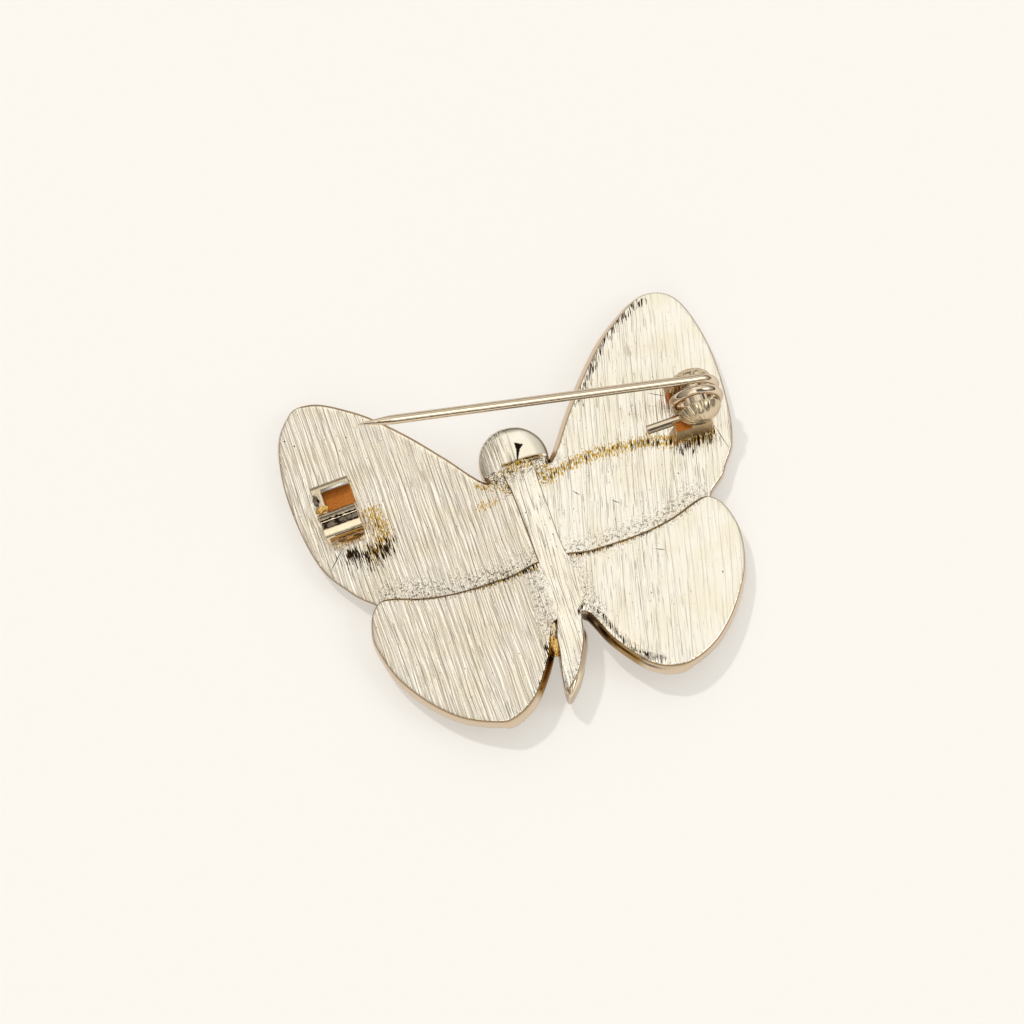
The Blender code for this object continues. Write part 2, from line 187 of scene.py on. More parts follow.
def total(tree, *terms):
    """The sum of some values, each with its share."""
    whole = 0.0
    for value, share in terms:
        part = node(tree, "ShaderNodeMath", {0: value, 1: share, 2: whole}, operation="MULTIPLY_ADD")
        whole = part["Value"]
    return whole


def mixed(tree, share, first, second):
    """One colour over another, by this share."""
    return node(tree, "ShaderNodeMix", {0: share, 6: first, 7: second}, data_type="RGBA")[2]


def mark(tree, name):
    return node(tree, "ShaderNodeAttribute", attribute_name=name)["Fac"]


SPOT_THINNING = 0.36
SPOT_EDGE = 0.04


def spots(tree, pattern, amount, level):
    """1 on a pattern's crisp spots: all above this level where the amount is 1, and fewer as it falls."""
    raised = total(tree, (pattern, 1.0), (amount, SPOT_THINNING))
    return between(tree, raised, level + SPOT_THINNING, level + SPOT_THINNING + SPOT_EDGE)


def new_metal(name):
    """A new metallic material, its node tree, its shader and the place in millimetres."""
    material = bpy.data.materials.new(name)
    material.use_nodes = True
    tree = material.node_tree
    shader = tree.nodes["Principled BSDF"]
    shader.inputs["Metallic"].default_value = 1.0
    in_metres = node(tree, "ShaderNodeTexCoord")["Object"]
    return material, tree, shader, vector(tree, "MULTIPLY", in_metres, (1 / MM,) * 3)


def dress(tree, shader, colour, rough, relief, depth):
    """Gives a shader its colour, its roughness and a relief of this depth in millimetres."""
    bump = {"Height": relief, "Strength": 1.0, "Distance": depth * MM}
    normal = node(tree, "ShaderNodeBump", bump)["Normal"]
    feed(tree, shader, {"Base Color": colour, "Roughness": rough, "Normal": normal})


def brushed_gold(name, lean):
    """Pale gold plate on a casting that was brushed with a coarse wheel. The wheel's marks catch the light
    as broken white streaks. The finer ones of a real wheel are drawn about 0.15 mm wide, so that they show.
    Grey pits, golden stains and scorch strokes lie where the solder was and the wheel did not reach. Some
    golden and dark specks are painted light instead: a painted reflection of the pin on the right forewing,
    and painted light bounced between the pits by the neck. Walls, rims and edges get painted shade and
    painted dark reflections in tan, brown and black."""
    material, tree, shader, where = new_metal(name)
    wander = node(tree, "ShaderNodeTexNoise", {"Vector": where, "Scale": 0.16, "Detail": 1.0})["Color"]
    bent = vector(tree, "MULTIPLY_ADD", wander, (0.4, 0.4, 0.0), where)
    fine = streaks(tree, bent, lean, 0.14, 4.0, 3.0)
    broad = streaks(tree, bent, lean, 0.36, 8.0, 11.0)
    strokes = between(tree, streaks(tree, bent, lean, 0.32, 8.0, 23.0, 0.0), 0.53, 0.65)
    cuts = between(tree, streaks(tree, bent, lean, 0.2, 3.0, 71.0), 0.62, 0.72)
    pits = between(tree, streaks(tree, bent, lean, 0.17, 0.4, 41.0), 0.72, 0.8)
    brushed = mark(tree, "brushed")
    pitted = mark(tree, "pitted")

    grit = unevenness(tree, where, 3.6, 2.0, 0.7)
    holes = times(tree, between(tree, grit, 0.55, 0.68), pitted)
    wheel = (broad, 1.0), (fine, 0.34), (strokes, 0.42), (cuts, -0.3), (pits, -0.5), (grit, 0.2)
    relief = times(tree, total(tree, *wheel), brushed)
    relief = total(tree, (relief, 1.0), (times(tree, grit, pitted), 2.4), (holes, -1.5))

    worn = between(tree, unevenness(tree, where, 0.35, 3.0), 0.35, 0.65)
    dull = times(tree, total(tree, (pits, 0.6), (cuts, 0.25)), brushed)
    # Golden and dark specks: stains and scorches, and painted light too: the pin's painted reflection and
    # light bounced between pits by the neck.
    gold = spots(tree, streaks(tree, bent, lean, 0.12, 0.4, 57.0, 2.0), mark(tree, "stained"), 0.455)
    scorches_and_reflections = spots(tree, streaks(tree, bent, lean, 0.1, 1.3, 87.0), mark(tree, "scorched"), 0.465)
    colour = linear("#F8EFE2")
    for share, over in (
        (worn, "#F4E9D6"),
        (dull, "#8A7355"),
        # Walls: a darker pinkish tan, painted shade: they mirror the floor in the brooch's shadow.
        (mark(tree, "wall"), "#D9C5AE"),
        (gold, "#CDA446"),
        (times(tree, holes, 0.8), "#5A4A36"),
        # Brown: the head's crease and some walls, and painted dark reflections along the rounded back edges
        # and on the head's right rim.
        (mark(tree, "browning_and_reflection"), "#94702F"),
        (scorches_and_reflections, "#2E2110"),
        # Near black: a blot on the head and some walls beside the web, and painted dark reflections: the
        # pin's on the head and a sliver on the right hindwing's bevel.
        (mark(tree, "blackened"), "#1E160D"),
    ):
        colour = mixed(tree, share, colour, linear(over))
    dress(tree, shader, colour, ranged(tree, broad, 0.3, 0.7, 0.12, 0.2), relief, BRUSH_DEPTH)
    return material


# Shares of red, green and blue that polished plate keeps where it turns away from the eye.
EDGE_BROWNING = (0.5, 0.42, 0.34)


def polished_gold(name, code, roughness):
    """Pale gold plate on tumbled metal: a clear, soft-edged mirror with the faint unevenness of a casting.
    It is browner where it turns away from the eye, for the dim room that it mirrors there."""
    material, tree, shader, where = new_metal(name)
    uneven = unevenness(tree, where, 0.9, 2.0)
    facing = node(tree, "ShaderNodeLayerWeight", {"Blend": 0.5})["Facing"]
    browner = tuple(c * share for c, share in zip(linear(code), EDGE_BROWNING)) + (1.0,)
    colour = mixed(tree, between(tree, facing, 0.35, 0.95), linear(code), browner)
    rough = ranged(tree, uneven, 0.3, 0.7, roughness * 0.8, roughness * 1.2)
    dress(tree, shader, colour, rough, uneven, 0.03)
    return material


def interreflection_orange(name):
    """Deep orange, finely grained: painted light bounced between gold faces in shaded recesses."""
    material, tree, shader, where = new_metal(name)
    shader.inputs["Metallic"].default_value = 0.4
    grain = unevenness(tree, where, 7.0, 2.0)
    colour = mixed(tree, between(tree, grain, 0.35, 0.65), linear("#B8651B"), linear("#C97C28"))
    dress(tree, shader, colour, 0.5, grain, 0.02)
    return material


def tarnish_and_shade_gold(name):
    """Brown-black gold plate: a lump of dirt at the catch's end, and painted shade in the fold of its roll.
    """
    material, tree, shader, where = new_metal(name)
    patches = unevenness(tree, where, 1.6, 3.0)
    colour = mixed(tree, between(tree, patches, 0.4, 0.56), linear("#2B2119"), linear("#86796A"))
    dress(tree, shader, colour, 0.3, patches, 0.1)
    return material


# Placing.

hinge_joint = frame["joints"][0]
hinge_height = -SLOPE * (HINGE_PLACE[0] - BAR_HALF_WIDTH) + HINGE_HEIGHT
HINGE_CENTRE = Vector((*HINGE_PLACE, hinge_height))
ORIGIN = Vector(hinge_joint["pos_m"]) - HINGE_CENTRE * MM


METALS = {}


def place(obj, *metals, body="brooch", stands_for=("butterfly_casting",), slot="cast_metal"):
    """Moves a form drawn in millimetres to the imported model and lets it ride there."""
    obj.data.transform(Matrix.Translation(ORIGIN) @ Matrix.Scale(MM, 4))
    obj.data.materials.clear()
    for each in metals:
        obj.data.materials.append(METALS[each])
    if body:
        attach(obj, body)
    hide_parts(*stands_for)
    return obj


def in_scene(name, data):
    made = bpy.data.objects.new(name, data)
    bpy.context.scene.collection.objects.link(made)
    return made


def object_from(name, shape):
    bmesh.ops.recalc_face_normals(shape, faces=shape.faces)
    mesh = bpy.data.meshes.new(name)
    shape.to_mesh(mesh)
    shape.free()
    mesh.shade_smooth()
    return in_scene(name, mesh)


def bridge(shape, rings, closed=True):
    """Faces between each ring of vertices and the next one."""
    for first, second in zip(rings, rings[1:]):
        for i in range(0 if closed else 1, len(first)):
            shape.faces.new((first[i - 1], first[i], second[i], second[i - 1]))


def close_ends(shape, rings):
    shape.faces.new(rings[0])
    shape.faces.new(list(reversed(rings[-1])))


# Wings.


def smooth_curve(points, steps):
    """A closed curve through these points, with this many steps between two of them."""
    smooth = []
    count = len(points)
    for i in range(count):
        before, start, end, after = (Vector(points[(i + k) % count]) for k in (-1, 0, 1, 2))
        first = start + (end - before) / 6
        last = end - (after - start) / 6
        smooth += interpolate_bezier(start, first, last, end, steps + 1)[:-1]
    return [(point.x, point.y) for point in smooth]


def evenly(points, spacing):
    """The same closed curve with points this far apart."""
    ends = np.array(list(points) + [points[0]])
    run = np.concatenate([[0.0], np.cumsum(np.hypot(*np.diff(ends, axis=0).T))])
    wanted = np.linspace(0.0, run[-1], max(int(run[-1] / spacing), 8) + 1)[:-1]
    return np.stack([np.interp(wanted, run, ends[:, k]) for k in (0, 1)], axis=1)


def facing_in(edge):
    """Unit directions into the area that a closed curve encloses."""
    along = np.roll(edge, -1, axis=0) - np.roll(edge, 1, axis=0)
    along /= np.linalg.norm(along, axis=1)[:, None]
    area = (edge[:, 0] * np.roll(edge[:, 1], -1) - np.roll(edge[:, 0], -1) * edge[:, 1]).sum()
    return np.stack([-along[:, 1], along[:, 0]], axis=1) * math.copysign(1.0, area)


def inside(points, edge):
    """Which of these points the closed curve encloses."""
    x, y = points[:, 0][:, None], points[:, 1][:, None]
    x0, y0 = edge[:, 0], edge[:, 1]
    x1, y1 = np.roll(x0, -1), np.roll(y0, -1)
    crosses = (y0 > y) != (y1 > y)
    with np.errstate(divide="ignore", invalid="ignore"):
        at = x0 + (y - y0) * (x1 - x0) / (y1 - y0)
    return (crosses & (x < at)).sum(axis=1) % 2 == 1


def distance_to(points, line, closed=False):
    """How far each point is from a run of straight lines."""
    line = np.asarray(line, float)
    starts = line if closed else line[:-1]
    ends = np.roll(line, -1, axis=0) if closed else line[1:]
    best = np.full(len(points), 1e9)
    for a, b in zip(starts, ends):
        run = b - a
        share = np.clip((points - a) @ run / max(run @ run, 1e-9), 0, 1)
        best = np.minimum(best, np.hypot(*(points - a - share[:, None] * run).T))
    return best


def face_mesh(edge, spacing):
    """Triangles that fill a closed curve, with inner points on a grid: the points and the faces."""
    low, high = edge.min(axis=0), edge.max(axis=0)
    ticks = [np.arange(low[k], high[k], spacing) for k in (0, 1)]
    grid = np.stack(np.meshgrid(*ticks), axis=-1).reshape(-1, 2)
    grid = grid[inside(grid, edge)]
    grid = grid[distance_to(grid, edge, closed=True) > spacing * 0.5]
    points = np.concatenate([edge, grid])
    loop = list(range(len(edge)))
    made = delaunay_2d_cdt([Vector(p) for p in points.tolist()], [], [loop], 1, 1e-5)
    return np.array([tuple(p) for p in made[0]]), made[2], made[3]


def rim_profile(thickness, flare, front_rounding):
    """How far out and how deep a wall is, from below its rounded back edge round to the front."""
    widest = 0.52 * thickness
    profile = []
    for step in range(1, 7):
        share = step / 6
        profile.append((flare * math.sin(math.pi / 2 * share), widest * (0.18 + 0.82 * share)))
    for step in range(1, 9):
        turn = math.pi / 2 * step / 8
        out = flare - (flare + front_rounding) * (1 - math.cos(turn))
        profile.append((out, widest + (thickness - widest) * math.sin(turn)))
    return profile


def plate(name, edge, height, size, spacing, marks, line=0.85):
    """A plate with height(points) as its back face. Its size is its thickness, the rounding of its back
    edge, the flare of its wall and the rounding of its front. The line is how brown its back edge is
    painted, a painted dark reflection along the rounding."""
    thickness, rounding, flare, front_rounding = size
    inward = facing_in(edge)
    rounding = np.broadcast_to(rounding, (len(edge),))
    rings = []
    steps = 6
    for step in range(steps + 1):
        turn = math.pi / 2 * step / steps
        inset = rounding * (1 - math.sin(turn))
        rings.append((edge + inward * inset[:, None], rounding * (1 - math.cos(turn))))
    for away, depth in rim_profile(thickness, flare, front_rounding):
        rings.append((edge - inward * np.reshape(away, (-1, 1)), np.maximum(rounding, depth)))
    shape = bmesh.new()
    made = []
    for points, depth in rings:
        levels = height(points) - depth
        made.append([shape.verts.new((x, y, z)) for (x, y), z in zip(points.tolist(), levels.tolist())])
    bridge(shape, made)
    count = len(edge)
    points, faces, came_from = face_mesh(rings[0][0], spacing)
    levels = height(points)
    ids = []
    for (x, y), z, source in zip(points.tolist(), levels.tolist(), came_from):
        on_edge = [k for k in source if k < count]
        ids.append(made[0][on_edge[0]] if on_edge else shape.verts.new((x, y, z)))
    for face in faces:
        corners = [ids[k] for k in face]
        if len(set(corners)) > 2:
            shape.faces.new(corners)
    shape.faces.new(list(reversed(made[-1])))
    obj = object_from(name, shape)

    spread = np.array([tuple(v.co) for v in obj.data.vertices])[:, :2]
    on_rings = count * len(rings)
    ring = np.zeros(len(spread), int)
    ring[:on_rings] = np.repeat(np.arange(len(rings)), count)
    first_brown = np.full(len(spread), 3)
    first_brown[:on_rings] -= np.tile(rounding > 0.3, len(rings))
    brown = np.zeros(len(spread))
    brown[:on_rings] = np.tile(np.broadcast_to(line, (count,)), len(rings))
    brown *= (ring >= first_brown) & (ring <= steps)
    wall = (ring > steps).astype(float)
    values = marks(spread)
    for each in ("brushed", "stained", "scorched", "pitted"):
        values[each] = values[each] * (ring < 3)
    values["browning_and_reflection"] = np.maximum(brown, values.pop("amber", 0.0) * wall)
    values["blackened"] = np.maximum(values.get("blackened", 0.0), values.pop("burnt", 0.0) * wall)
    values["wall"] = wall
    write_marks(obj, values)
    return obj


def edge_facing(edge, direction, low, high):
    """1 where a closed curve faces this way, falling to 0 where it turns from it."""
    return soft_step(-facing_in(edge) @ np.array(direction), low, high)


def write_marks(obj, marks):
    """Stores each mark on each point: brushing, pits, stains, scorches, painted reflections and shade, and
    so on.
    """
    count = len(obj.data.vertices)
    for name, values in marks.items():
        attribute = obj.data.attributes.new(name, "FLOAT", "POINT")
        clipped = np.broadcast_to(np.clip(values, 0, 2), (count,))
        attribute.data.foreach_set("value", clipped.astype(np.float32))


def soft_step(values, low, high):
    share = np.clip((values - low) / (high - low), 0, 1)
    return share * share * (3 - 2 * share)


def near(points, line, width):
    """1 on a line, falling to 0 this far from it."""
    return 1 - soft_step(distance_to(points, line), 0.0, width)


# Lines on the wings, with x counted outwards from the middle: where the hindwing steps up from the forewing,
# the neck beside the head, the golden glint under the pin, which is a painted reflection of it, the
# scorch-marked rim above it, and the bevelled rim.
STEP_LINE = (
    (1.6, -3.2), (4.9, -3.35), (6.9, -3.25), (9.0, -2.95), (11.1, -2.6), (13.3, -2.0), (15.2, -1.25),
)
NECK = ((1.6, 5.0), (2.8, 6.4))
PIN_GLINT = ((2.4, 4.7), (4.3, 5.35), (6.9, 5.7), (9.9, 5.65), (12.8, 5.5), (16.4, 4.5), (18.6, 4.5))
UPPER_RIM = ((7.6, 11.0), (9.7, 13.8), (11.7, 16.1), (13.7, 17.7), (15.6, 18.6), (16.8, 19.0))
BEVEL_RIM = (
    (1.9, -9.2), (2.5, -10.4), (3.1, -11.6), (3.7, -12.7), (4.4, -13.8), (5.1, -14.8), (5.8, -15.4),
    (6.8, -16.1),
)
BEVEL_MARKS = ((2.7, -9.2), (3.1, -10.2), (3.6, -11.6), (4.2, -12.9), (4.8, -14.0), (6.0, -14.7))

# Marks on the backs: what each is, how strong, how far it reaches, and the line that it follows.
# By the neck the golden specks are painted light, bounced between the pits.
FOREWING_MARKS = (("pitted", 1.0, 1.7, NECK), ("stained", 1.0, 1.7, NECK), ("scorched", 0.5, 1.7, NECK))
RIGHT_FOREWING_MARKS = FOREWING_MARKS + (
    ("pitted", 0.7, 2.6, STEP_LINE),
    # Along the glint and beside the hinge, the golden and dark specks are a painted reflection of the pin,
    # which the wings do not mirror.
    ("stained", 1.0, 1.9, PIN_GLINT),
    ("scorched", 0.8, 1.2, PIN_GLINT),
    ("scorched", 1.0, 1.9, ((15.4, 4.0), (17.2, 4.2), (18.6, 4.6))),
    ("scorched", 1.0, 1.0, UPPER_RIM),
)
LEFT_FOREWING_MARKS = FOREWING_MARKS + (
    ("pitted", 1.0, 2.6, STEP_LINE),
    ("stained", 0.9, 1.4, ((4.6, 4.1), (3.1, 4.0))),
    ("stained", 1.0, 1.0, ((4.1, 6.1), (3.3, 5.6))),
    ("stained", 1.0, 2.5, ((14.3, 7.2), (13.8, 4.8), (15.4, 3.4))),
    ("scorched", 1.1, 2.9, ((17.3, 3.7), (15.8, 3.2), (14.2, 3.6))),
    ("scorched", 0.75, 1.4, ((14.4, 6.3), (13.6, 4.6))),
)
HINDWING_MARKS = (
    ("pitted", 0.7, 1.1, STEP_LINE),
    ("stained", 1.0, 1.1, STEP_LINE),
    ("scorched", 0.9, 1.1, STEP_LINE),
    ("pitted", 0.7, 1.6, ((1.8, -4.0), (2.4, -9.4))),
    ("amber", 1.0, 1.4, ((2.8, -11.2), (4.0, -13.2), (4.8, -14.4))),
    ("burnt", 0.9, 1.0, ((1.4, -9.0), (2.2, -9.9), (3.1, -11.8))),
)
RIGHT_HINDWING_MARKS = HINDWING_MARKS + (
    ("scorched", 1.0, 0.6, BEVEL_MARKS),
    # The near-black sliver on the bevel is a painted dark reflection.
    ("blackened", 0.6, 0.35, ((5.3, -14.7), (6.2, -15.1), (7.2, -15.3))),
)
LEFT_HINDWING_MARKS = HINDWING_MARKS + (
    ("scorched", 0.9, 1.1, ((2.9, -10.6), (3.4, -12.2), (4.0, -13.6), (5.3, -15.0))),
)


def marked(table, brushed, points):
    """How strongly each point is marked, by a table of marks and by how deep the wheel went."""
    values = {"brushed": brushed}
    for name, strength, reach, line in table:
        values[name] = np.maximum(values.get(name, 0.0), strength * near(points, line, reach))
    return values


def forewing_marks(side, points):
    if side < 0:
        return marked(LEFT_FOREWING_MARKS, 1.0, points * (-1, 1))
    outer = soft_step(points[:, 0], 14.0, 19.0) * soft_step(points[:, 1], 2.0, 14.0)
    return marked(RIGHT_FOREWING_MARKS, 1 - 0.7 * outer, points)


def hindwing_marks(side, points):
    if side < 0:
        return marked(LEFT_HINDWING_MARKS, 1.0, points * (-1, 1))
    outer = soft_step(points[:, 0] - 0.12 * points[:, 1], 9.0, 14.0)
    return marked(RIGHT_HINDWING_MARKS, 1 - 0.6 * outer, points)


BEVEL_DROP = 0.24
BEVEL_WIDTH = 1.15


def wing_face(lift, bevelled=None):
    def height(points):
        level = lift - SLOPE * np.maximum(np.abs(points[:, 0]) - BAR_HALF_WIDTH, 0)
        if bevelled is not None:
            level = level - BEVEL_DROP * near(points, bevelled, BEVEL_WIDTH)
        return level

    return height


EDGE_SPACING = 0.22
FACE_SPACING = 0.3
FRONT_ROUNDING = 0.7


def wing_edge(outline, half_span, reach, side):
    points = [(x * half_span * side, y * reach) for x, y in outline]
    return evenly(smooth_curve(points, 12), EDGE_SPACING)


def make_wings():
    for side, word in ((1, "right"), (-1, "left")):
        metal = f"brushed_gold_plate_{word}"
        edge = wing_edge(FOREWING_OUTLINE, WING_HALF_SPAN, FOREWING_REACH, side)
        wider = 0.36 * edge_facing(edge, (0.8, 0.6), 0.0, 0.5)
        if side < 0:
            wider = 0.3 * edge_facing(edge, (-0.8, -0.5), 0.3, 0.8)
            wider += 0.24 * edge_facing(edge, (0.0, 1.0), 0.8, 1.0)
        edge = edge - facing_in(edge) * wider[:, None]
        rounding = 0.2
        flare = 0.06 + 0.4 * edge_facing(edge, (-1.0, 0.1), 0.3, 0.8)
        if side < 0:
            away = edge_facing(edge, (0.5, 0.86), 0.75, 0.95)
            rounding = 0.2 + 0.25 * away
            flare = 0.1 - 0.1 * away - 0.4 * edge_facing(edge, (-0.85, -0.5), 0.65, 0.95)
        size = (FOREWING_THICKNESS, rounding, flare, FRONT_ROUNDING)
        marks = partial(forewing_marks, side)
        place(plate(f"{word}_forewing", edge, wing_face(0.0), size, FACE_SPACING, marks), metal)

        edge = wing_edge(HINDWING_OUTLINE, HINDWING_HALF_SPAN, HINDWING_REACH, side)
        if side < 0:
            narrower = 0.3 * edge_facing(edge, (-0.75, -0.65), 0.6, 0.95)
            edge = edge + facing_in(edge) * narrower[:, None]
        rounding = 0.2 + 0.26 * near(edge * (side, 1), STEP_LINE, 1.5)
        flare = 0.06 + 0.16 * edge_facing(edge, (0.0, -1.0), 0.0, 0.6)
        flare = np.maximum(flare, 0.5 * edge_facing(edge, (-0.65 * side, -0.75), 0.3, 0.9))
        size = (HINDWING_THICKNESS, rounding, flare, FRONT_ROUNDING)
        face = wing_face(HINDWING_STEP, BEVEL_RIM if side > 0 else None)
        marks = partial(hindwing_marks, side)
        place(plate(f"{word}_hindwing", edge, face, size, FACE_SPACING, marks), metal)


# Body.

BODY_NECK = ((-1.3, 6.6), (1.5, 6.8))
BODY_SEAM = ((1.9, -3.6), (2.42, -5.4), (2.1, -7.8), (1.2, -8.9))
BODY_MARKS = (
    ("pitted", 1.0, 2.0, BODY_NECK),
    ("stained", 1.0, 2.0, BODY_NECK),
    ("scorched", 0.25, 2.0, BODY_NECK),
    ("pitted", 0.8, 0.7, BODY_SEAM),
    ("stained", 0.3, 0.7, BODY_SEAM),
    ("scorched", 1.0, 0.5, ((1.6, -8.2), (0.7, -9.0))),
)

# Sections of the half-round front: y, sideways middle, half width, level of the widest and of the bottom.
BODY_FRONT = (
    (6.4, 0.1, 1.5, -1.2, -3.6), (4.0, 0.2, 1.8, -1.2, -4.1), (0.0, 0.2, 1.9, -1.2, -4.4),
    (-4.0, 0.1, 1.8, -1.2, -4.3), (-8.0, -0.1, 1.5, -1.2, -4.5), (-9.5, -0.35, 1.42, -1.2, -4.55),
    (-11.0, -0.62, 1.40, -1.3, -4.6), (-12.8, -0.98, 1.35, -1.45, -4.66),
    (-13.9, -1.33, 1.15, -1.6, -4.66), (-14.9, -1.72, 0.94, -1.85, -4.6),
    (-15.7, -2.12, 0.58, -2.2, -4.3), (-16.2, -2.4, 0.22, -2.6, -3.9),
)


def body_height(points):
    """Level along the bar, with a lower strip on its left, and bending down to the tail."""
    x, y = points[:, 0], points[:, 1]
    beside = SLOPE * np.maximum(x - BAR_HALF_WIDTH, 0)
    tail = np.maximum(-9.5 - y, 0) / 6.1
    middle = -0.62 - 0.075 * (4.0 - y)
    strip = (1 - soft_step(x, middle - 0.3, middle)) * soft_step(y, -4.2, -2.2)
    return BODY_TOP - beside - 0.6 * tail**2.2 - 0.05 * strip


def make_body_back():
    edge = evenly(smooth_curve(BODY_BACK, 10), 0.16)
    low = soft_step(-edge[:, 1], 9.3, 11.0)
    flare = 0.45 * low * edge_facing(edge, (0.8, -0.6), 0.1, 0.7)
    flush = soft_step(-edge[:, 1], 2.6, 3.4) * soft_step(edge[:, 1], -9.4, -8.6)
    size = (3.0, 0.13 - 0.1 * flush, flare, 0.3)
    marks = partial(marked, BODY_MARKS, 1.3)
    back = plate("body_back", edge, body_height, size, 0.16, marks, 0.9 - 0.75 * flush)
    place(back, "brushed_gold_plate_middle")


def make_body_front():
    shape = bmesh.new()
    rings = []
    for y, middle, wide, level, bottom in BODY_FRONT:
        top = body_height(np.array([(middle, y)]))[0] - 0.25
        ring = []
        for step in range(40):
            turn = math.tau * step / 40
            reach, spread = (top - level, 0.9) if math.sin(turn) > 0 else (level - bottom, 1.0)
            x = middle + wide * math.copysign(abs(math.cos(turn)) ** spread, math.cos(turn))
            ring.append(shape.verts.new((x, y, level + reach * math.sin(turn))))
        rings.append(ring)
    bridge(shape, rings)
    close_ends(shape, rings)
    under = object_from("body_front", shape)
    smoother = under.modifiers.new("smooth", "SUBSURF")
    smoother.levels = smoother.render_levels = 2
    place(under, "polished_gold_plate")


HEAD_TOP = Vector((-0.1, 7.4, 0.5))
HEAD_BOTTOM = HEAD_TOP - Vector((0.0, 0.0, 4.75))
DOME_STEPS = 40
HEAD_WALL = ((3.27, -0.1), (3.31, -0.25), (3.34, -0.5), (3.34, -1.8), (3.1, -2.9), (2.3, -3.8), (1.2, -4.2))
CREASE_LINE = ((-3.2, 6.5), (-1.9, 6.84), (-1.3, 7.03), (1.4, 7.06), (2.5, 6.94), (3.2, 6.9))
# DARK_WEDGE is a painted dark reflection of the pin on the head's polished part.
DARK_WEDGE = ((0.4, 8.9), (1.2, 8.45), (0.75, 8.1), (0.22, 7.1), (0.1, 7.15), (0.38, 8.1))


def head_profile():
    """Half section of the head, as distance from its middle and height under its top: a dome and a wall."""
    profile = []
    radius, height = 0.0, 0.0
    for step in range(DOME_STEPS):
        tilt = math.radians(9 * min(radius / 2.0, 1.0) + 27 * max((radius - 2.0) / 1.2, 0.0))
        radius, height = radius + 0.08, height - 0.08 * math.tan(tilt)
        profile.append((radius, height))
    return profile + [(across, height + down) for across, down in HEAD_WALL]


def make_head():
    """A dome whose lower part is cut back at a ragged golden crease, where the thorax was joined."""
    shape = bmesh.new()
    sides = 180
    top = shape.verts.new(HEAD_TOP)
    bottom = shape.verts.new(HEAD_BOTTOM)
    rings = []
    for radius, height in head_profile():
        ring = []
        for k in range(sides):
            turn = math.tau * k / sides
            away = Vector((radius * math.cos(turn), radius * math.sin(turn), height))
            ring.append(shape.verts.new(HEAD_TOP + away))
        rings.append(ring)
    for i in range(sides):
        shape.faces.new((top, rings[0][i - 1], rings[0][i]))
        shape.faces.new((bottom, rings[-1][i], rings[-1][i - 1]))
    bridge(shape, rings)
    for vert in shape.verts:
        crease = float(np.interp(vert.co.x, *zip(*CREASE_LINE))) + 0.04 * math.sin(7.1 * vert.co.x + 1)
        below = min(max((crease - vert.co.y) / 0.12, 0), 1)
        if vert.co.z > -0.4:
            vert.co.z -= (0.14 + 0.12 * noise.noise(vert.co * 1.6)) * below
    head = object_from("head", shape)

    co = np.array([tuple(v.co) for v in head.data.vertices])
    flat = co[:, :2]
    thorax = 1 - soft_step(flat[:, 1], 6.6, 6.95)
    left = 1 - soft_step(flat[:, 0], -0.4, 0.3)
    from_middle = np.hypot(*(flat - tuple(HEAD_TOP.xy)).T)
    right_rim = soft_step(from_middle, 3.0, 3.2) * soft_step(flat[:, 0], 0.6, 1.6)
    crease = near(flat, ((-1.3, 7.02), (1.4, 7.05), (2.5, 6.92)), 0.3)
    blot = near(flat, ((-0.4, 6.5), (0.5, 6.6)), 0.45)
    wall = co[:, 2] < HEAD_TOP.z + head_profile()[DOME_STEPS - 1][1] - 0.05
    marks = {
        "brushed": np.maximum(left, thorax) * 2.4 * ~wall,
        "pitted": thorax,
        "stained": thorax * 0.75,
        "scorched": near(flat, ((-1.3, 5.9), (-0.9, 5.6)), 0.5),
        # The right rim's brown and the dark wedge are painted dark reflections; the crease's brown is its
        # own.
        "browning_and_reflection": np.maximum(crease, right_rim * 0.8),
        "blackened": soft_step(inside(flat, np.array(DARK_WEDGE)) + blot, 0.25, 0.6),
        "wall": wall.astype(float),
    }
    write_marks(head, marks)
    place(head, "brushed_gold_plate_middle")


# Catch.


def on_wing(x, y):
    """A frame standing on a forewing's back face."""
    height = -SLOPE * (abs(x) - BAR_HALF_WIDTH)
    lean = Matrix.Rotation(math.copysign(math.atan(SLOPE), x), 4, "Y")
    return Matrix.Translation((x, y, height)) @ lean


def extruded(outline, low, high, frame_matrix):
    """A closed outline of (y, z) drawn out along x."""
    shape = bmesh.new()
    ends = []
    for x in (low, high):
        ends.append([shape.verts.new(frame_matrix @ Vector((x, y, z))) for y, z in outline])
    bridge(shape, ends)
    close_ends(shape, ends)
    return shape


def bar(name, metal, outline, ends, seat, easing=0.0, segments=3, sharp=None):
    """Places an outline drawn out between two ends, with its sharp edges rounded by the easing."""
    form = object_from(name, extruded(outline, *ends, seat))
    if easing:
        ease = form.modifiers.new("ease", "BEVEL")
        ease.width = easing * MM
        ease.segments = segments
        ease.limit_method = "ANGLE"
        ease.angle_limit = math.radians(35)
        ease.harden_normals = True
    place(form, metal)
    if sharp:
        form.data.set_sharp_from_angle(angle=math.radians(sharp))


# The strip's first point on the roll, in catch_strip_line().
ROLL_START = 11


